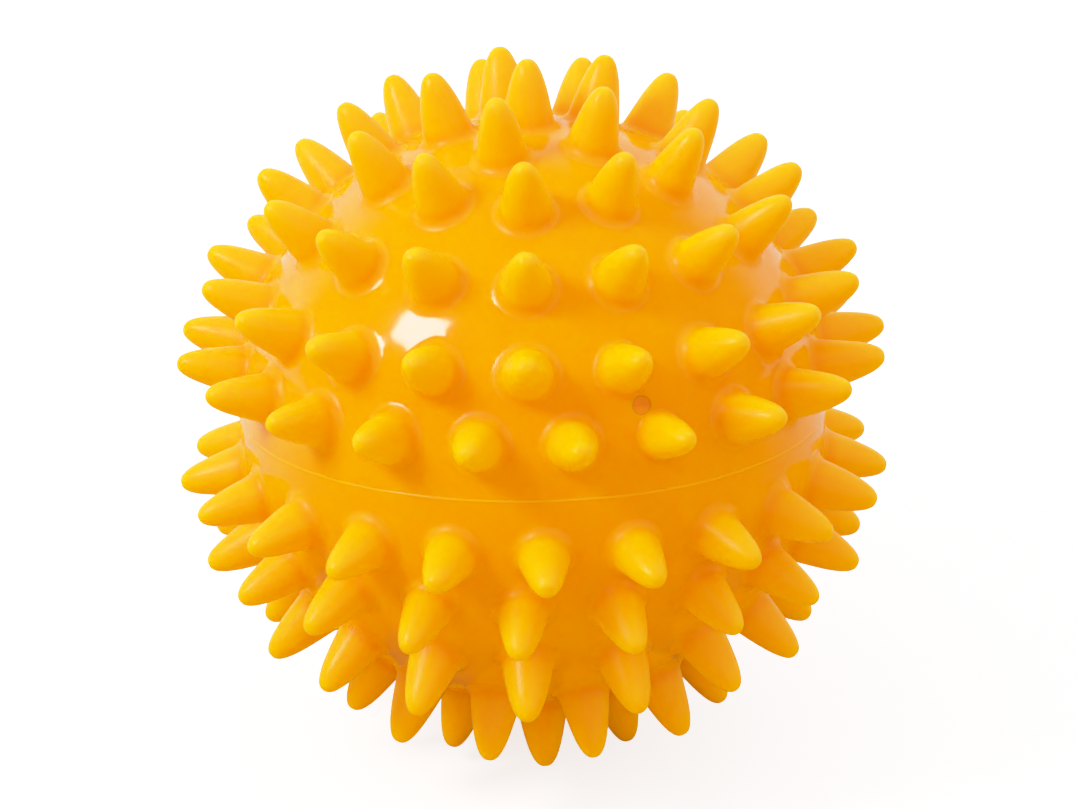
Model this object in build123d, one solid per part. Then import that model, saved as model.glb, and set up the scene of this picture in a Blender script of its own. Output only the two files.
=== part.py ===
from build123d import *
import math
import os

# Spiky hand-massage ball: a hollow soft-PVC skin in two halves that meet at an
# equatorial weld, rings of round-nosed spikes on both halves, and a needle valve
# under a small port between two spikes of the upper half. Millimetres.

# ---- driving dimensions -------------------------------------------------
body_radius = 36.4        # outer radius of the skin between the spikes
tip_radius = 45.0         # ball centre to a spike's tip: 90 mm overall
wall = 2.8                # skin thickness

# a spike: half-width at a distance from its tip, along its axis
spike_profile = [(1.46, 1.42), (2.84, 2.10), (4.00, 2.47), (5.10, 2.72), (6.44, 2.90)]
spike_root_radius = 3.0   # half-width where the spike leaves the skin

# rings, from the weld to the pole: latitude, number of spikes, first longitude.
# Longitude 0 faces -Y and grows towards +X.
upper_rings = [
    (10.75, 20, 4.27),
    (24.20, 18, -4.12),
    (41.50, 15, -4.25),
    (58.90, 11, -4.64),
    (74.50, 5, -22.36),
]
lower_rings = [
    (-11.40, 20, -1.49),
    (-24.20, 18, -6.01),
    (-40.30, 15, -5.56),
    (-58.50, 11, 14.00),
    (-75.00, 5, 0.00),
]

seam_half_width = 0.35    # weld bead on the outside, either side of the equator
seam_height = 0.22

valve_lat, valve_lon = 17.0, 19.1
port_radius = 1.15         # takes a ball pump's needle
seat_radius = 4.5         # sleeve moulded on the inside of the skin
seat_length = 8.0
plug_radius = 2.6         # rubber plug held in the sleeve
plug_lip_radius = 1.6     # opening in the sleeve's inner lip
plug_lip = 1.0
guide_depth = 5.0         # needle guide in the plug, blind: its end is the slit rubber

# ---- how the ball stands ------------------------------------------------
# It rests on the pole spike and two spikes of the ring next to it, so its polar
# axis leans back from the vertical in the YZ plane by this angle.
_rest = math.radians(-lower_rings[4][0])
lean = math.degrees(
    math.atan((1 - math.sin(_rest)) / (math.cos(_rest) * math.cos(math.pi / 5)))
)
tip_nose = 1.5            # radius of the spike's rounded nose
centre_height = (tip_radius - tip_nose) * math.cos(math.radians(lean)) + tip_nose

STAND = Location((0, 0, centre_height)) * Location((0, 0, 0), (-lean, 0, 0))


def towards(lat, lon):
    """Location that turns +Z of the ball's own frame to a latitude and longitude."""
    return STAND * Location((0, 0, 0), (0, 0, lon)) * Location((0, 0, 0), (90 - lat, 0, 0))


def on_sphere(radius, half_width):
    return math.sqrt(radius**2 - half_width**2)


# ---- one spike, standing on the skin along +Z ---------------------------
root_z = on_sphere(body_radius, spike_root_radius)
mid = spike_root_radius / 2
flank = [(0, tip_radius)] + [(r, tip_radius - d) for d, r in spike_profile]
flank.append((spike_root_radius, root_z))
outline = Spline(*flank, tangents=[(1, 0), (0.03, -1)])
root = ThreePointArc((spike_root_radius, root_z), (mid, on_sphere(body_radius, mid)), (0, body_radius))
core = Line((0, body_radius), (0, tip_radius))
spike = revolve(Plane.XZ * make_face(Curve() + [outline, root, core]), Axis.Z, 360)
spike = spike.solids()[0]
print("spike volume", round(spike.volume, 2), "lean", round(lean, 3), "centre height", round(centre_height, 3))


def ring(lat, count, first):
    return Compound(
        children=[spike.moved(towards(lat, first + k * 360 / count)) for k in range(count)]
    )


# ---- the skin -----------------------------------------------------------
ball = Sphere(body_radius) - Sphere(body_radius - wall)
big = 2 * tip_radius
upper_half = ball & (Pos(0, 0, big / 2) * Box(big, big, big))
lower_half = ball & (Pos(0, 0, -big / 2) * Box(big, big, big))

to_valve = Location((0, 0, 0), (0, 0, valve_lon)) * Location((0, 0, 0), (90 - valve_lat, 0, 0))
inner = body_radius - wall
port = to_valve * (Pos(0, 0, body_radius) * Cylinder(port_radius, 12))
upper_half = upper_half - port

# ---- weld bead, outside the equator -------------------------------------
edge = on_sphere(body_radius, seam_half_width)
bead_outer = ThreePointArc(
    (edge, -seam_half_width), (body_radius + seam_height, 0), (edge, seam_half_width)
)
bead_inner = ThreePointArc((edge, seam_half_width), (body_radius, 0), (edge, -seam_half_width))
bead = revolve(Plane.XZ * make_face(Curve() + [bead_outer, bead_inner]), Axis.Z, 360)

# ---- needle valve: sleeve inside the skin, and the plug in it -----------
seat_end = inner - seat_length
sleeve = Pos(0, 0, (inner + seat_end) / 2) * Cylinder(seat_radius, seat_length)
sleeve = sleeve & Sphere(inner)
sleeve = sleeve - Pos(0, 0, seat_end + plug_lip + seat_length / 2) * Cylinder(plug_radius, seat_length)
sleeve = sleeve - Pos(0, 0, seat_end) * Cylinder(plug_lip_radius, 4 * plug_lip)

plug_low = seat_end + plug_lip
plug = Pos(0, 0, (inner + plug_low) / 2) * Cylinder(plug_radius, inner - plug_low)
plug = plug & Sphere(inner)
plug = plug - Pos(0, 0, inner + 5 - guide_depth) * Cylinder(port_radius, 10)

# ---- write every piece --------------------------------------------------
nodes = {
    "upper_shell": STAND * upper_half,
    "lower_shell": STAND * lower_half,
    "seam_bead": STAND * bead,
    "valve_sleeve": STAND * to_valve * sleeve,
    "valve_plug": STAND * to_valve * plug,
    "upper_pole_spike": Compound(children=[spike.moved(towards(90, 0))]),
    "lower_pole_spike": Compound(children=[spike.moved(towards(-90, 0))]),
}
for number, (lat, count, first) in enumerate(upper_rings, 1):
    nodes[f"upper_spikes_ring_{number}"] = ring(lat, count, first)
for number, (lat, count, first) in enumerate(lower_rings, 1):
    nodes[f"lower_spikes_ring_{number}"] = ring(lat, count, first)

os.makedirs("parts", exist_ok=True)
low, high = [1e9] * 3, [-1e9] * 3
for name, shape in nodes.items():
    box = shape.bounding_box()
    for i in range(3):
        low[i] = min(low[i], tuple(box.min)[i])
        high[i] = max(high[i], tuple(box.max)[i])
    export_step(shape, f"parts/{name}.step")
print("box low", [round(v, 3) for v in low], "high", [round(v, 3) for v in high])
mouth = (STAND * to_valve * Location((0, 0, on_sphere(body_radius, port_radius))))
floor_of_guide = (STAND * to_valve * Location((0, 0, inner - guide_depth)))
print("valve mouth", tuple(mouth.position), "guide floor", tuple(floor_of_guide.position))
direction = mouth.position - floor_of_guide.position
print("axis", tuple(direction.normalized()), "length", direction.length)
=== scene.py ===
import math

import bmesh
import bpy
import numpy as np
from mathutils import Matrix, Vector
from mathutils.geometry import delaunay_2d_cdt
from mathutils import noise as mnoise


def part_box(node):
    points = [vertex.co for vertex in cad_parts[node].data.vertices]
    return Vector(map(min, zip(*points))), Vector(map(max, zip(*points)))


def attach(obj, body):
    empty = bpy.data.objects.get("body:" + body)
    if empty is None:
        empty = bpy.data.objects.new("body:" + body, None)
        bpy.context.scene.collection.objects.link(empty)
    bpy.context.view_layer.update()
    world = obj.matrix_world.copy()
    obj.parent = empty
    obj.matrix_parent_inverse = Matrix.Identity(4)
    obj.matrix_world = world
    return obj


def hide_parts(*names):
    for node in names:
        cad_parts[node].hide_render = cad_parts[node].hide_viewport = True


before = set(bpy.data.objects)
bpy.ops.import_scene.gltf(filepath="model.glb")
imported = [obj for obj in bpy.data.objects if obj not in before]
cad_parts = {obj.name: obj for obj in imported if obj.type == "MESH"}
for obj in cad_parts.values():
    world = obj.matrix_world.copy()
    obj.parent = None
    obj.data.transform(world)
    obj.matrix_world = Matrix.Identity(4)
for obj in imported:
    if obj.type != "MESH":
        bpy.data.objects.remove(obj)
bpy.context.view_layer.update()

# ---------------------------------------------------------------- the design
# The same numbers as the CAD model, in millimetres and degrees.
BODY_R = 36.4
TIP_R = 45.0
WALL = 2.8
ROOT_R = 3.0
UPPER = [(10.75, 20, 4.27), (24.20, 18, -4.12), (41.50, 15, -4.25), (58.90, 11, -4.64), (74.50, 5, -22.36), (90.0, 1, 0.0)]
LOWER = [(-11.40, 20, -1.49), (-24.20, 18, -6.01), (-40.30, 15, -5.56), (-58.50, 11, 14.00), (-75.00, 5, 0.00), (-90.0, 1, 0.0)]
PORT_LAT, PORT_LON, PORT_R = 17.0, 19.1, 1.15
PLUG_R = 2.6
SEAT_LENGTH = 8.0
_a = math.radians(75.0)
LEAN = math.atan((1 - math.sin(_a)) / (math.cos(_a) * math.cos(math.pi / 5)))
CENTRE_H = (TIP_R - 1.5) * math.cos(LEAN) + 1.5

# The centre's height agrees with the frame: the upper shell's box shares it.
_lo, _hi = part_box("upper_shell")
assert abs(_hi.z * 1000 - (CENTRE_H + BODY_R)) < 0.3, "the CAD ball stands at another height"

STAND = np.array(
    [[1, 0, 0], [0, math.cos(LEAN), math.sin(LEAN)], [0, -math.sin(LEAN), math.cos(LEAN)]]
)


def to_row(points_mm):
    """Points of the ball's own frame, polar axis up, to the row frame in metres."""
    p = np.asarray(points_mm, float) @ STAND.T
    p[:, 2] += CENTRE_H
    return p * 0.001


def unit(lat, lon):
    lat, lon = math.radians(lat), math.radians(lon)
    return np.array([math.cos(lat) * math.sin(lon), -math.cos(lat) * math.cos(lon), math.sin(lat)])


def noise3(p, scale, seed=0.0):
    """Smooth noise at points p (mm), of about that many mm between bumps."""
    out = np.empty(len(p))
    for i, q in enumerate(p):
        out[i] = mnoise.noise(Vector((q[0] / scale + seed, q[1] / scale - 2 * seed, q[2] / scale + 0.7 * seed)))
    return out


# ---------------------------------------------------------------- mesh making
def make_object(name, verts_m, faces, material, smooth=True):
    mesh = bpy.data.meshes.new(name)
    mesh.from_pydata([tuple(v) for v in verts_m], [], faces)
    mesh.validate()
    bm = bmesh.new()
    bm.from_mesh(mesh)
    bmesh.ops.recalc_face_normals(bm, faces=bm.faces)
    loose = sum(len(e.link_faces) != 2 for e in bm.edges)
    print(name, "faces", len(bm.faces), "open or crowded edges", loose)
    bm.to_mesh(mesh)
    bm.free()
    mesh.update()
    if smooth:
        mesh.shade_smooth()
        mesh.set_sharp_from_angle(angle=math.radians(55))
    obj = bpy.data.objects.new(name, mesh)
    bpy.context.scene.collection.objects.link(obj)
    mesh.materials.append(material)
    return obj


# A spike's half-width against the distance from its nose: a blunt nose, then nearly straight flanks.
SPIKE_H = TIP_R - BODY_R
RINGS = [0.003, 0.009, 0.019, 0.034, 0.054, 0.08, 0.112, 0.155, 0.21, 0.28, 0.36, 0.45, 0.55, 0.65, 0.75, 0.84]
SEG = 40
FILLET = 1.55
ROOT_SLOPE = math.radians(10.2)


def spike_radius(x):
    """Half-width at the share x of the spike's height, from the nose."""
    return 1.72 * (1 - (1 - x) ** 4) ** 0.37 + 1.56 * x


class Spike:
    def __init__(self, lat, lon, rng, still):
        self.axis = unit(lat, lon)
        ref = np.array([0, 0, 1.0]) if abs(self.axis[2]) < 0.9 else np.array([1.0, 0, 0])
        self.t1 = np.cross(ref, self.axis)
        self.t1 /= np.linalg.norm(self.t1)
        self.t2 = np.cross(self.axis, self.t1)
        k = 0.0 if still else 1.0
        self.tall = 1.0 - k * rng.uniform(0.0, 0.022)
        self.wide = 1.0 + k * rng.uniform(-0.02, 0.02)
        self.oval = k * rng.uniform(0.0, 0.025)
        self.turn = rng.uniform(0, 2 * math.pi)
        bend = k * rng.uniform(0.0, 0.22)
        where = rng.uniform(0, 2 * math.pi)
        self.bend = bend * (math.cos(where) * self.t1 + math.sin(where) * self.t2)
        self.phase = rng.uniform(0, 50)
        self.set_root(FILLET * rng.uniform(0.92, 1.08))

    def set_root(self, fillet):
        """The fillet between flank and skin; the flank starts at the fillet's top."""
        self.fillet = fillet
        self.h0 = fillet * (1 - math.sin(ROOT_SLOPE))
        self.r0 = spike_radius(1 - self.h0 / SPIKE_H) * self.wide
        self.alpha0 = math.asin(self.r0 / (BODY_R + self.h0))

    def ring(self, r, height, n=SEG):
        """A ring of points of half-width r, at a height above the skin along the axis."""
        angle = self.turn + np.arange(n) * 2 * math.pi / n
        rr = r * (1 + self.oval * np.cos(2 * (angle - self.turn)))
        flat = rr[:, None] * (np.cos(angle)[:, None] * self.t1 + np.sin(angle)[:, None] * self.t2)
        base = self.axis * (BODY_R + height)
        return base + flat + self.bend * (max(0.0, height) / SPIKE_H) ** 1.6


def cdt_half(circles, equator_n, fill_spacing, rng, rings_at=()):
    """Triangles of a half ball around circular holes.
    circles: (unit axis, list of unit points round the hole). Returns unit points, faces, and each hole's point indices.
    Works with +z towards the half's pole."""
    pts, loops = [], []
    for _, loop in circles:
        start = len(pts)
        pts.extend(loop)
        loops.append(list(range(start, len(pts))))
    start = len(pts)
    for k in range(equator_n):
        a = 2 * math.pi * k / equator_n
        pts.append(np.array([math.cos(a), math.sin(a), 0.0]))
    rim = list(range(start, len(pts)))
    axes = np.array([c[0] for c in circles]) if circles else np.zeros((0, 3))
    radius = np.array([math.acos(np.clip(c[0] @ c[1][0], -1, 1)) for c in circles]) if circles else np.zeros(0)
    free = []
    # rings round each hole, close together where the fillet turns
    for i, (axis, loop) in enumerate(circles):
        ref = np.array([0, 0, 1.0]) if abs(axis[2]) < 0.9 else np.array([1.0, 0, 0])
        t1 = np.cross(ref, axis)
        t1 /= np.linalg.norm(t1)
        t2 = np.cross(axis, t1)
        for j, (gap, n) in enumerate(rings_at):
            a = radius[i] + gap
            for k in range(n):
                w = 2 * math.pi * (k + 0.5 * (j % 2)) / n
                p = math.cos(a) * axis + math.sin(a) * (math.cos(w) * t1 + math.sin(w) * t2)
                if p[2] < 0.012:
                    continue
                d = np.arccos(np.clip(axes @ p, -1, 1)) - radius
                d[i] = 9
                if d.min() < gap * 0.999 or d.min() < 0.0035:
                    continue
                free.append(p)
    # even fill between them
    n_fill = int(2 * math.pi / (0.866 * fill_spacing**2))
    golden = math.pi * (3 - math.sqrt(5))
    clear = (rings_at[-1][0] if rings_at else 0.0) + 0.6 * fill_spacing
    z = (np.arange(n_fill) + 0.5) / n_fill
    a = golden * np.arange(n_fill)
    s = np.sqrt(1 - z**2)
    fill = np.stack([s * np.cos(a), s * np.sin(a), z], 1)
    fill = fill[fill[:, 2] > 0.6 * fill_spacing]
    if len(axes):
        d = np.arccos(np.clip(fill @ axes.T, -1, 1)) - radius
        fill = fill[d.min(1) > clear]
    pts.extend(free)
    pts.extend(list(fill))
    P = np.array(pts)
    flat = P[:, :2] / (1 + P[:, 2:3])
    edges = []
    for loop in loops:
        edges += [(loop[k], loop[(k + 1) % len(loop)]) for k in range(len(loop))]
    edges += [(rim[k], rim[(k + 1) % len(rim)]) for k in range(len(rim))]
    v2, _, tris, orig_v, _, _ = delaunay_2d_cdt([Vector(p) for p in flat], edges, [], 0, 1e-9)
    back = [o[0] if o else -1 for o in orig_v]
    assert min(back) >= 0 and len(v2) == len(P), (len(v2), len(P))
    owner = np.full(len(P), -1)
    for n, loop in enumerate(loops):
        owner[loop] = n
    faces = []
    for t in tris:
        f = [back[i] for i in t]
        o = owner[f]
        if o[0] >= 0 and o[0] == o[1] == o[2]:
            continue
        (x0, y0), (x1, y1), (x2, y2) = flat[f[0]], flat[f[1]], flat[f[2]]
        cross = (x1 - x0) * (y2 - y0) - (x2 - x0) * (y1 - y0)
        if abs(cross) < 1e-14:
            continue
        faces.append(f if cross > 0 else [f[0], f[2], f[1]])
    return P, faces, loops, rim


def build_half(name, rings, sign, seed, port, material):
    """One half of the skin with its spikes, as one closed shell: outside, inside, rim and port."""
    rng = np.random.default_rng(seed)
    flip = np.array([1, 1, sign])  # the lower half is made with its pole up, then mirrored
    spikes = []
    for lat, count, first in rings:
        for k in range(count):
            lon = (first + k * 360 / count) % 360
            still = sign < 0 and (abs(lat) > 80 or (abs(lat) > 70 and abs(lon - 180) < 50))
            s = Spike(lat, lon, rng, still)
            spikes.append(s)
    if port is not None:
        for s in spikes:  # the fillet is narrow where the port sits close by
            gap = math.acos(float(np.clip(s.axis @ port, -1, 1))) * BODY_R
            if gap < 4.8:
                s.wide = 0.93
                s.set_root(0.42)
            elif gap < 6.5:
                s.set_root(0.9)
    circles = []
    for s in spikes:
        loop = s.ring(s.r0, s.h0)
        loop /= np.linalg.norm(loop, axis=1)[:, None]
        circles.append((s.axis * flip, list(loop * flip)))
    port_n = 32
    if port is not None:
        ref = np.array([0, 0, 1.0])
        p1 = np.cross(ref, port)
        p1 /= np.linalg.norm(p1)
        p2 = np.cross(port, p1)
        w = 2 * math.pi * np.arange(port_n) / port_n
        mouth_r = PORT_R + 0.20
        ring_dir = np.cos(w)[:, None] * p1 + np.sin(w)[:, None] * p2
        loop = port * math.sqrt(BODY_R**2 - mouth_r**2) + ring_dir * mouth_r
        loop /= np.linalg.norm(loop, axis=1)[:, None]
        circles.append((port * flip, list(loop * flip)))
    spacing = 0.72
    gaps = [(0.0012, SEG), (0.0034, SEG), (0.0070, SEG), (0.0120, 40), (0.0185, 40), (0.0265, 36), (0.0360, 32), (0.0460, 32)]
    P, faces, loops, rim = cdt_half(circles, 360, spacing / BODY_R, rng, gaps)
    P = P * flip
    if sign < 0:
        faces = [[f[0], f[2], f[1]] for f in faces]
    # height above the plain sphere: fillets at the spikes' roots, and the moulding's slight unevenness
    axes = np.array([s.axis for s in spikes])
    alpha0 = np.array([s.alpha0 for s in spikes])
    rf = np.array([s.fillet for s in spikes])
    d = (np.arccos(np.clip(P @ axes.T, -1, 1)) - alpha0) * BODY_R
    d = np.clip(d, 0, None)
    d0 = rf * (1 - math.cos(ROOT_SLOPE))
    inside = np.clip(rf - d - d0, 0, None)
    h = rf - np.sqrt(np.clip(rf**2 - inside**2, 0, None))
    h = np.where(d < rf - d0, h, 0)
    h = np.cbrt((h**3).sum(1))
    nearest = d.min(1)
    calm = np.clip(nearest / 1.6, 0, 1)
    edge = np.clip(np.abs(P[:, 2]) * BODY_R / 1.5, 0, 1)
    if port is not None:
        near_port = np.arccos(np.clip(P @ port, -1, 1)) * BODY_R
        calm = calm * np.clip((near_port - 1.5) / 1.5, 0, 1)
    q = P * BODY_R
    wave = 0.022 * noise3(q, 9.0, seed) + 0.007 * noise3(q, 3.4, seed + 5) + 0.003 * noise3(q, 1.3, seed + 9)
    h = h + wave * calm * edge
    for n, s in enumerate(spikes):
        h[loops[n]] = s.h0
    verts = [P * (BODY_R + h)[:, None]]
    # the roots take the spike's own ring, so that flank and fillet share it
    for n, s in enumerate(spikes):
        verts[0][loops[n]] = s.ring(s.r0, s.h0)
    count = len(P)
    out = list(faces)
    wind = 1 if sign > 0 else 1
    for n, s in enumerate(spikes):
        below = loops[n]
        for x in reversed([v for v in RINGS if SPIKE_H * (1 - v) > s.h0 + 0.25]):
            height = SPIKE_H * s.tall * (1 - x)
            r = spike_radius(x) * s.wide
            ring = s.ring(r, height)
            bump = 1 + 0.007 * noise3(ring + s.phase, 2.6, s.phase)
            ring = s.axis * (ring @ s.axis)[:, None] + (ring - s.axis * (ring @ s.axis)[:, None]) * bump[:, None]
            verts.append(ring)
            now = list(range(count, count + SEG))
            count += SEG
            for k in range(SEG):
                k2 = (k + 1) % SEG
                out.append([below[k], below[k2], now[k2], now[k]])
            below = now
        apex = s.axis * (BODY_R + SPIKE_H * s.tall) + s.bend * s.tall**1.6
        verts.append(apex[None, :])
        for k in range(SEG):
            out.append([below[k], below[(k + 1) % SEG], count])
        count += 1
    # inside of the skin
    inner_circles = []
    if port is not None:
        loop = port * math.sqrt((BODY_R - WALL) ** 2 - PORT_R**2) + ring_dir * PORT_R
        loop /= np.linalg.norm(loop, axis=1)[:, None]
        inner_circles = [(port * flip, list(loop * flip))]
    Q, inner_faces, inner_loops, inner_rim = cdt_half(inner_circles, 120, 2.4 / (BODY_R - WALL), rng, [(0.02, 24), (0.05, 24)] if port is not None else [])
    Q = Q * flip * (BODY_R - WALL)
    verts.append(Q)
    first_inner = count
    count += len(Q)
    for f in inner_faces:
        g = [first_inner + i for i in f]
        out.append(g[::-1] if sign > 0 else g)
    # the rim that meets the other half
    outer = rim
    inner = [first_inner + i for i in inner_rim]
    for k in range(120):
        o = [outer[(3 * k + j) % 360] for j in range(4)]
        i0, i1 = inner[k], inner[(k + 1) % 120]
        part = [[o[0], i0, o[1]], [o[1], i0, i1, o[2]], [o[2], i1, o[3]]]
        out.extend(part if sign > 0 else [p[::-1] for p in part])
    # the port's wall
    if port is not None:
        levels = [(PORT_R + 0.11, BODY_R - 0.03), (PORT_R + 0.04, BODY_R - 0.09), (PORT_R, BODY_R - 0.2), (PORT_R, BODY_R - 0.9), (PORT_R, BODY_R - 1.9)]
        below = loops[-1]
        mouth = verts[0][below]
        for r, depth in levels:
            ring = port * math.sqrt(depth**2 - r**2) + ring_dir * r
            verts.append(ring)
            now = list(range(count, count + port_n))
            count += port_n
            for k in range(port_n):
                k2 = (k + 1) % port_n
                out.append([below[k], below[k2], now[k2], now[k]])
            below = now
        now = [first_inner + i for i in inner_loops[0]]
        for k in range(port_n):
            k2 = (k + 1) % port_n
            out.append([below[k], below[k2], now[k2], now[k]])
    verts = np.concatenate(verts)
    return make_object(name, to_row(verts), out, material)


# ---------------------------------------------------------------- materials
def new_material(name):
    m = bpy.data.materials.new(name)
    m.use_nodes = True
    nt = m.node_tree
    bsdf = nt.nodes["Principled BSDF"]
    return m, nt, bsdf


def srgb(r, g, b):
    f = lambda c: c / 12.92 if c <= 0.04045 else ((c + 0.055) / 1.055) ** 2.4
    return (f(r / 255), f(g / 255), f(b / 255), 1.0)


def mix(nt, kind, a, b, fac):
    n = nt.nodes.new("ShaderNodeMix")
    n.data_type = "RGBA"
    n.blend_type = kind
    n.inputs[0].default_value = 1.0
    for socket, value in ((6, a), (7, b), (0, fac)):
        if isinstance(value, (tuple, float, int)):
            n.inputs[socket].default_value = value
        else:
            nt.links.new(value, n.inputs[socket])
    return n.outputs[2]


def ramp(nt, value, stops):
    n = nt.nodes.new("ShaderNodeValToRGB")
    n.color_ramp.elements[0].position, n.color_ramp.elements[0].color = stops[0]
    n.color_ramp.elements[1].position, n.color_ramp.elements[1].color = stops[-1]
    for pos, col in stops[1:-1]:
        e = n.color_ramp.elements.new(pos)
        e.color = col
    nt.links.new(value, n.inputs[0])
    return n.outputs[0]


def noise_node(nt, vec, scale, detail=3.0, rough=0.5):
    n = nt.nodes.new("ShaderNodeTexNoise")
    n.inputs["Scale"].default_value = scale
    n.inputs["Detail"].default_value = detail
    n.inputs["Roughness"].default_value = rough
    nt.links.new(vec, n.inputs["Vector"])
    return n.outputs["Fac"]


CENTRE = Vector((0, 0, CENTRE_H * 0.001))


POLE = Vector(tuple(float(v) for v in STAND @ np.array([0.0, 0.0, 1.0])))


def map_range(nt, value, low_in, high_in, low_out, high_out, smooth=True):
    n = nt.nodes.new("ShaderNodeMapRange")
    if smooth:
        n.interpolation_type = "SMOOTHSTEP"
    nt.links.new(value, n.inputs["Value"])
    n.inputs["From Min"].default_value = low_in
    n.inputs["From Max"].default_value = high_in
    n.inputs["To Min"].default_value = low_out
    n.inputs["To Max"].default_value = high_out
    return n.outputs["Result"]


def pvc(name, body, painted_lit_tip, roughness, tip_roughness, sss_scale, radius=(1.0, 0.36, 0.05)):
    """Glossy translucent soft PVC, with painted light: the spikes are painted lighter and more yellow than the skin, as
    lit spikes stand against the shaded skin between them.
    The skin is polished by its mould; the spikes, drawn out of narrow holes, are a little duller."""
    m, nt, bsdf = new_material(name)
    coord = nt.nodes.new("ShaderNodeTexCoord")
    vec = coord.outputs["Object"]
    # distance from the ball's centre tells skin from nose
    dist = nt.nodes.new("ShaderNodeVectorMath")
    dist.operation = "DISTANCE"
    nt.links.new(vec, dist.inputs[0])
    dist.inputs[1].default_value = CENTRE
    up = map_range(nt, dist.outputs["Value"], 0.0366, 0.0388, 0.0, 1.0)
    cloud = noise_node(nt, vec, 48.0, 2.0, 0.5)
    tint = ramp(nt, cloud, [(0.30, (body[0], body[1] * 0.955, body[2], 1)), (0.70, (body[0], body[1] * 1.03, body[2], 1))])
    # painted light: from the roots outwards the colour turns to the lighter, yellower colour of lit spikes
    base = mix(nt, "MIX", tint, painted_lit_tip, up)
    fine = noise_node(nt, vec, 700.0, 3.0, 0.6)
    speck = ramp(nt, fine, [(0.30, (0.985, 0.965, 0.94, 1)), (0.46, (1, 1, 1, 1))])
    base = mix(nt, "MULTIPLY", base, speck, 1.0)
    nt.links.new(base, bsdf.inputs["Base Color"])
    # gloss: slightly duller in patches where the mould was rough
    patch = noise_node(nt, vec, 110.0, 3.0, 0.6)
    r_body = map_range(nt, patch, 0.35, 0.75, roughness * 0.85, roughness * 1.3)
    r_scale = map_range(nt, dist.outputs["Value"], 0.03641, 0.03650, 1.0, tip_roughness / roughness)
    times = nt.nodes.new("ShaderNodeMath")
    times.operation = "MULTIPLY"
    nt.links.new(r_body, times.inputs[0])
    nt.links.new(r_scale, times.inputs[1])
    nt.links.new(times.outputs[0], bsdf.inputs["Roughness"])
    bsdf.subsurface_method = "RANDOM_WALK"
    if sss_scale:
        bsdf.inputs["Subsurface Weight"].default_value = 1.0
        bsdf.inputs["Subsurface Radius"].default_value = radius
        # light doesn't cross the weld into the other half's mesh, so it scatters less far beside it
        lat = nt.nodes.new("ShaderNodeVectorMath")
        lat.operation = "SUBTRACT"
        nt.links.new(vec, lat.inputs[0])
        lat.inputs[1].default_value = CENTRE
        along = nt.nodes.new("ShaderNodeVectorMath")
        along.operation = "DOT_PRODUCT"
        nt.links.new(lat.outputs["Vector"], along.inputs[0])
        along.inputs[1].default_value = POLE
        away = nt.nodes.new("ShaderNodeMath")
        away.operation = "ABSOLUTE"
        nt.links.new(along.outputs["Value"], away.inputs[0])
        nt.links.new(map_range(nt, away.outputs[0], 0.0002, 0.0030, sss_scale * 0.04, sss_scale), bsdf.inputs["Subsurface Scale"])
    bsdf.inputs["IOR"].default_value = 1.46
    nt.links.new(map_range(nt, dist.outputs["Value"], 0.03641, 0.03655, 0.37, 0.14), bsdf.inputs["Specular IOR Level"])
    # faint ripples and pits of the moulded skin
    ripple = noise_node(nt, vec, 260.0, 4.0, 0.5)
    pits = nt.nodes.new("ShaderNodeTexVoronoi")
    pits.inputs["Scale"].default_value = 240.0
    nt.links.new(vec, pits.inputs["Vector"])
    pit = ramp(nt, pits.outputs["Distance"], [(0.0, (0, 0, 0, 1)), (0.10, (1, 1, 1, 1))])
    b1 = nt.nodes.new("ShaderNodeBump")
    b1.inputs["Strength"].default_value = 0.03
    b1.inputs["Distance"].default_value = 0.0004
    nt.links.new(ripple, b1.inputs["Height"])
    b2 = nt.nodes.new("ShaderNodeBump")
    b2.inputs["Strength"].default_value = 0.05
    b2.inputs["Distance"].default_value = 0.00015
    nt.links.new(pit, b2.inputs["Height"])
    nt.links.new(b1.outputs["Normal"], b2.inputs["Normal"])
    nt.links.new(b2.outputs["Normal"], bsdf.inputs["Normal"])
    return m


# painted light: the second colour is the lighter, yellower colour of lit spikes, the first the skin's own
skin_mat = pvc("pvc_skin", (0.96, 0.298, 0.0003, 1), (0.97, 0.374, 0.0003, 1), 0.095, 0.32, 0.0022)
bead_mat = pvc("pvc_weld_bead", (0.95, 0.315, 0.001, 1), (0.95, 0.315, 0.001, 1), 0.14, 0.14, 0.0)


def rubber(name, colour, roughness):
    m, nt, bsdf = new_material(name)
    coord = nt.nodes.new("ShaderNodeTexCoord")
    vec = coord.outputs["Object"]
    n = noise_node(nt, vec, 900.0, 4.0, 0.6)
    c = ramp(nt, n, [(0.3, tuple(v * 0.8 for v in colour[:3]) + (1,)), (0.7, colour)])
    nt.links.new(c, bsdf.inputs["Base Color"])
    r = nt.nodes.new("ShaderNodeMapRange")
    nt.links.new(n, r.inputs["Value"])
    r.inputs["To Min"].default_value = roughness * 0.8
    r.inputs["To Max"].default_value = roughness * 1.2
    nt.links.new(r.outputs["Result"], bsdf.inputs["Roughness"])
    bsdf.inputs["Specular IOR Level"].default_value = 0.12
    b = nt.nodes.new("ShaderNodeBump")
    b.inputs["Strength"].default_value = 0.15
    b.inputs["Distance"].default_value = 0.0001
    nt.links.new(n, b.inputs["Height"])
    nt.links.new(b.outputs["Normal"], bsdf.inputs["Normal"])
    return m


plug_mat = rubber("rubber_valve_plug", srgb(235, 130, 2), 0.6)
sleeve_mat = rubber("pvc_valve_sleeve", srgb(226, 140, 24), 0.35)

# ---------------------------------------------------------------- the pieces
port_axis = unit(PORT_LAT, PORT_LON)
upper = build_half("skin_upper_half", UPPER, 1, 11, port_axis, skin_mat)
lower = build_half("skin_lower_half", LOWER, -1, 23, None, skin_mat)


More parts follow.
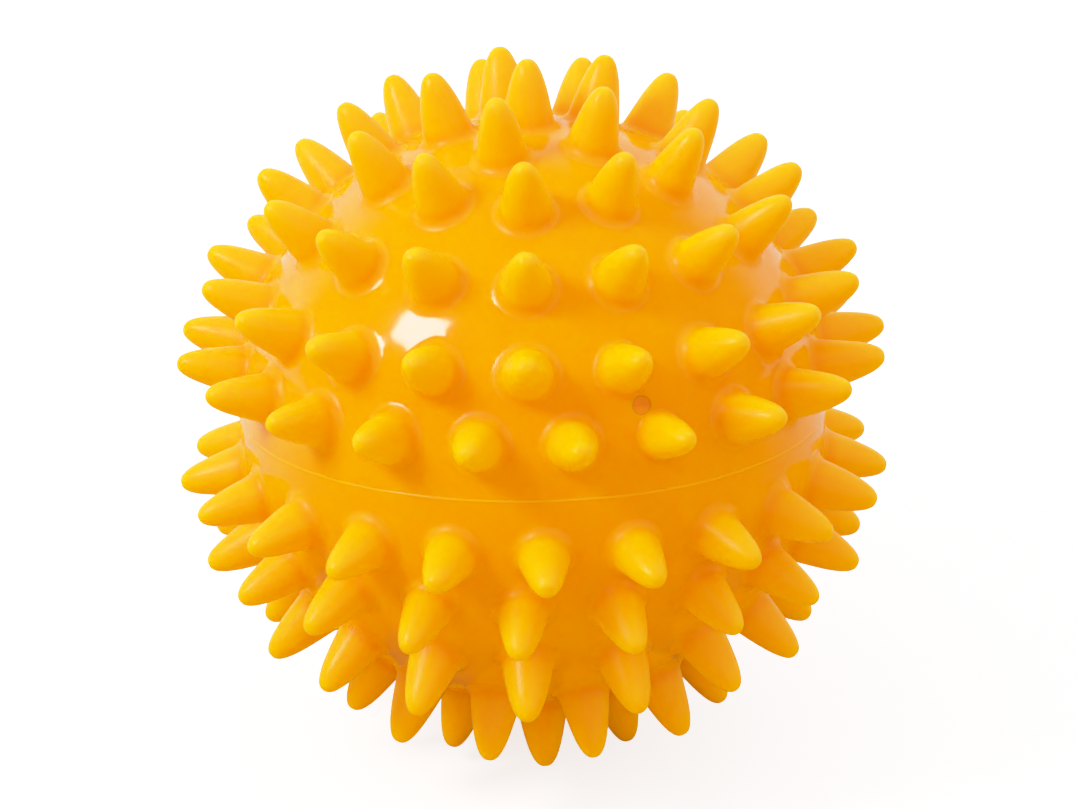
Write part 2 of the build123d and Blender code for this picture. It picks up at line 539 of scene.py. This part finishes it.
def weld_bead():
    """The uneven raised line where the two halves meet."""
    rng = np.random.default_rng(5)
    n, sec = 720, 8
    a = 2 * math.pi * np.arange(n) / n
    circle = np.stack([np.cos(a), np.sin(a), 0 * a], 1) * BODY_R
    n1 = noise3(circle, 5.0, 3.1)
    n2 = noise3(circle, 1.6, 8.3)
    n3 = noise3(circle, 14.0, 1.7)
    height = 0.062 + 0.035 * n1 + 0.035 * n2 + 0.03 * n3
    width = 0.20 + 0.05 * n1 + 0.03 * n3
    drift = 0.07 * n3 + 0.03 * n1
    # small nubs of flash
    for _ in range(46):
        c, w, hgt = rng.uniform(0, 2 * math.pi), rng.uniform(0.004, 0.010), rng.uniform(0.04, 0.12)
        d = np.angle(np.exp(1j * (a - c)))
        bump = np.exp(-((d / w) ** 2))
        height = height + hgt * bump
        width = width + 0.05 * bump
    height = np.clip(height, 0.012, 0.21)
    width = np.clip(width, 0.10, 0.34)
    verts = []
    for i in range(n):
        radial = np.array([math.cos(a[i]), math.sin(a[i]), 0.0])
        for k in range(sec):
            t = math.pi * k / (sec - 1)
            z = drift[i] - math.cos(t) * width[i]
            r = BODY_R - 0.03 + (height[i] + 0.03) * math.sin(t) ** 1.3
            verts.append(radial * r + np.array([0, 0, z]))
    faces = []
    for i in range(n):
        j = (i + 1) % n
        for k in range(sec - 1):
            faces.append([i * sec + k, j * sec + k, j * sec + k + 1, i * sec + k + 1])
        faces.append([i * sec + sec - 1, j * sec + sec - 1, j * sec, i * sec])
    return make_object("weld_bead", to_row(np.array(verts)), faces, bead_mat)


bead = weld_bead()


def valve_plug():
    """The rubber plug: a shaft in the sleeve, and a dished face with its slit just under the port's mouth."""
    inner = BODY_R - WALL
    low = inner - SEAT_LENGTH + 1.0
    ref = np.array([0, 0, 1.0])
    p1 = np.cross(ref, port_axis)
    p1 /= np.linalg.norm(p1)
    p2 = np.cross(port_axis, p1)
    outline = [(0.0, low), (1.2, low), (PLUG_R - 0.25, low + 0.02), (PLUG_R - 0.03, low + 0.25), (PLUG_R - 0.03, inner - 0.35)]
    top = BODY_R - 0.20
    outline += [(PLUG_R - 0.2, inner - 0.16), (PORT_R + 0.1, inner - 0.12), (PORT_R - 0.03, inner + 0.1), (PORT_R - 0.012, top - 0.06), (PORT_R - 0.012, top), (1.0, top - 0.012), (0.85, top - 0.03), (0.6, top - 0.07), (0.35, top - 0.10), (0.15, top - 0.11), (0.0, top - 0.115)]
    n = 48
    w = 2 * math.pi * np.arange(n) / n
    verts, faces, rings = [], [], []
    for r, z in outline:
        if r == 0:
            rings.append([len(verts)])
            verts.append(port_axis * z)
            continue
        ids = []
        for k in range(n):
            # the slit: a narrow groove across the dished face
            x, y = r * math.cos(w[k]), r * math.sin(w[k])
            zz = z
            if z > inner + 0.5 and r < 0.7 and abs(y) < 0.07:
                zz -= 0.05
            ids.append(len(verts))
            verts.append(port_axis * zz + p1 * x + p2 * y)
        rings.append(ids)
    for a, b in zip(rings, rings[1:]):
        for k in range(n):
            k2 = (k + 1) % n
            if len(a) == 1:
                faces.append([a[0], b[k2], b[k]])
            elif len(b) == 1:
                faces.append([a[k], a[k2], b[0]])
            else:
                faces.append([a[k], a[k2], b[k2], b[k]])
    return make_object("valve_plug_rubber", to_row(np.array(verts)), faces, plug_mat)


plug = valve_plug()

for piece in (upper, lower, bead, plug):
    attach(piece, "root")
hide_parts("upper_shell", *[f"upper_spikes_ring_{i}" for i in range(1, 6)], "upper_pole_spike")
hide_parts("lower_shell", *[f"lower_spikes_ring_{i}" for i in range(1, 6)], "lower_pole_spike")
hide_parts("seam_bead")
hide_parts("valve_plug")
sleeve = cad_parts["valve_sleeve"]
for s in sleeve.material_slots:
    s.material = sleeve_mat

# ---------------------------------------------------------------- floor, light, camera
floor_mesh = bpy.data.meshes.new("floor")
S = 6.0
floor_mesh.from_pydata([(-S, -S, 0), (S, -S, 0), (S, S, 0), (-S, S, 0)], [], [(0, 1, 2, 3)])
floor = bpy.data.objects.new("floor", floor_mesh)
bpy.context.scene.collection.objects.link(floor)
floor_mat, nt, bsdf = new_material("paper_floor")
bsdf.inputs["Base Color"].default_value = (0.93, 0.93, 0.93, 1)
bsdf.inputs["Roughness"].default_value = 0.9
bsdf.inputs["Specular IOR Level"].default_value = 0.1
# painted light on the stage: the floor glows for camera rays, which lifts the ball's shadow on it; it throws back less
# light on the ball than it shows, and in glossy rays near the ball it is nearly black, a painted dark reflection
fpath = nt.nodes.new("ShaderNodeLightPath")
fgeo = nt.nodes.new("ShaderNodeNewGeometry")
fsep = nt.nodes.new("ShaderNodeSeparateXYZ")
nt.links.new(fgeo.outputs["Position"], fsep.inputs[0])
near = map_range(nt, fsep.outputs["Y"], -0.03, 0.12, 1.0, 0.0)
both = nt.nodes.new("ShaderNodeMath")
both.operation = "MULTIPLY"
nt.links.new(fpath.outputs["Is Glossy Ray"], both.inputs[0])
nt.links.new(near, both.inputs[1])
thrown = mix(nt, "MIX", (0.57, 0.57, 0.57, 1), (0.93, 0.93, 0.93, 1), fpath.outputs["Is Camera Ray"])
nt.links.new(mix(nt, "MIX", thrown, (0.03, 0.03, 0.03, 1), both.outputs[0]), bsdf.inputs["Base Color"])
bsdf.inputs["Emission Color"].default_value = (1, 1, 1, 1)
painted_floor_glow = nt.nodes.new("ShaderNodeMath")
painted_floor_glow.operation = "MULTIPLY"
nt.links.new(fpath.outputs["Is Camera Ray"], painted_floor_glow.inputs[0])
painted_floor_glow.inputs[1].default_value = 0.75
nt.links.new(painted_floor_glow.outputs[0], bsdf.inputs["Emission Strength"])
floor_mesh.materials.append(floor_mat)

TAU, ROLL = math.radians(18.445), math.radians(0.961)
LON0 = math.radians(-3.17)
c_ball = np.array([math.cos(TAU) * math.sin(LON0), -math.cos(TAU) * math.cos(LON0), math.sin(TAU)])
up_ball = np.array([-math.sin(TAU) * math.sin(LON0), math.sin(TAU) * math.cos(LON0), math.cos(TAU)])
right_ball = np.array([math.cos(LON0), math.sin(LON0), 0.0])
right = STAND @ (math.cos(ROLL) * right_ball - math.sin(ROLL) * up_ball)
up = STAND @ (math.sin(ROLL) * right_ball + math.cos(ROLL) * up_ball)
back = STAND @ c_ball
print("camera elevation", math.degrees(math.asin(back[2])), "azimuth", math.degrees(math.atan2(back[0], -back[1])))
R_m = BODY_R * 0.001
centre = np.array([0, 0, CENTRE_H * 0.001])
pos = centre + back * 33.41 * R_m + right * 0.02236 * R_m + up * 0.0059 * R_m
cam_data = bpy.data.cameras.new("camera")
cam = bpy.data.objects.new("camera", cam_data)
bpy.context.scene.collection.objects.link(cam)
cam.matrix_world = Matrix(
    (
        (right[0], up[0], back[0], pos[0]),
        (right[1], up[1], back[1], pos[1]),
        (right[2], up[2], back[2], pos[2]),
        (0, 0, 0, 1),
    )
)
cam_data.sensor_width = 36
cam_data.lens = 292.91 * 33.41 / 1079 * 36
cam_data.clip_start = 0.01
cam_data.clip_end = 50
bpy.context.scene.camera = cam


def area(name, direction, distance, size_x, size_y, power, colour=(1, 1, 1), roll=0.0):
    """A softbox in that direction from the ball's centre, facing it."""
    d = np.array(direction, float)
    d /= np.linalg.norm(d)
    data = bpy.data.lights.new(name, "AREA")
    data.shape = "RECTANGLE"
    data.size, data.size_y = size_x, size_y
    data.energy = power
    data.color = colour
    obj = bpy.data.objects.new(name, data)
    bpy.context.scene.collection.objects.link(obj)
    p = centre + d * distance
    quat = Vector(d).to_track_quat("Z", "Y")
    obj.matrix_world = Matrix.Translation(Vector(p)) @ quat.to_matrix().to_4x4() @ Matrix.Rotation(math.radians(roll), 4, "Z")
    return obj


def cam_dir(x, y, z):
    return right * x + up * y + back * z


area("key_softbox", cam_dir(-0.665, 0.458, 0.590), 0.8, 0.27, 0.205, 5.1, (1.0, 0.965, 0.91), roll=13.0)

world = bpy.data.worlds.new("studio")
bpy.context.scene.world = world
world.use_nodes = True
wn = world.node_tree
for n in list(wn.nodes):
    wn.nodes.remove(n)
out = wn.nodes.new("ShaderNodeOutputWorld")
path = wn.nodes.new("ShaderNodeLightPath")
coord = wn.nodes.new("ShaderNodeTexCoord")
dot = wn.nodes.new("ShaderNodeVectorMath")
dot.operation = "DOT_PRODUCT"
wn.links.new(coord.outputs["Generated"], dot.inputs[0])
dot.inputs[1].default_value = tuple(back)
# the set is white behind and beside the ball and dark behind the camera
side = wn.nodes.new("ShaderNodeMapRange")
side.interpolation_type = "SMOOTHSTEP"
wn.links.new(dot.outputs["Value"], side.inputs["Value"])
side.inputs["From Min"].default_value = -0.62
side.inputs["From Max"].default_value = -0.22
side.inputs["To Min"].default_value = 1.0
side.inputs["To Max"].default_value = 0.03
bg_gloss = wn.nodes.new("ShaderNodeBackground")
bg_gloss.inputs["Color"].default_value = (1, 1, 1, 1)
wn.links.new(side.outputs["Result"], bg_gloss.inputs["Strength"])
bg_fill = wn.nodes.new("ShaderNodeBackground")
bg_fill.inputs["Color"].default_value = (1, 1, 1, 1)
lift = wn.nodes.new("ShaderNodeVectorMath")
lift.operation = "DOT_PRODUCT"
wn.links.new(coord.outputs["Generated"], lift.inputs[0])
lift.inputs[1].default_value = tuple(Vector(tuple(right * 0.45 + up * 0.85 - back * 0.1)).normalized())
grade = wn.nodes.new("ShaderNodeMapRange")
wn.links.new(lift.outputs["Value"], grade.inputs["Value"])
grade.inputs["From Min"].default_value = -1.0
grade.inputs["From Max"].default_value = 1.0
grade.inputs["To Min"].default_value = 0.60
grade.inputs["To Max"].default_value = 1.62
wn.links.new(grade.outputs["Result"], bg_fill.inputs["Strength"])
bg_seen = wn.nodes.new("ShaderNodeBackground")
bg_seen.inputs["Color"].default_value = (1, 1, 1, 1)
bg_seen.inputs["Strength"].default_value = 3.0
m1 = wn.nodes.new("ShaderNodeMixShader")
wn.links.new(path.outputs["Is Glossy Ray"], m1.inputs[0])
wn.links.new(bg_fill.outputs[0], m1.inputs[1])
wn.links.new(bg_gloss.outputs[0], m1.inputs[2])
m2 = wn.nodes.new("ShaderNodeMixShader")
wn.links.new(path.outputs["Is Camera Ray"], m2.inputs[0])
wn.links.new(m1.outputs[0], m2.inputs[1])
wn.links.new(bg_seen.outputs[0], m2.inputs[2])
wn.links.new(m2.outputs[0], out.inputs["Surface"])

bpy.context.scene.view_settings.view_transform = "Standard"
bpy.context.scene.view_settings.look = "None"
# a soft shoulder, as a camera has, so that bright orange keeps its shading
bpy.context.scene.view_settings.use_curve_mapping = True
tone = bpy.context.scene.view_settings.curve_mapping
tone.white_level = (2.0, 2.0, 2.0)
tone.black_level = (0.0, 0.0, 0.003)
curve = tone.curves[3]
curve.points[0].location = (0.0, 0.0)
curve.points[1].location = (1.0, 1.0)
for x, y in ((0.55, 0.55), (0.8, 0.75), (1.0, 0.84), (1.3, 0.91), (1.6, 0.955), (1.85, 0.99)):
    curve.points.new(x / 2.0, y)
tone.update()
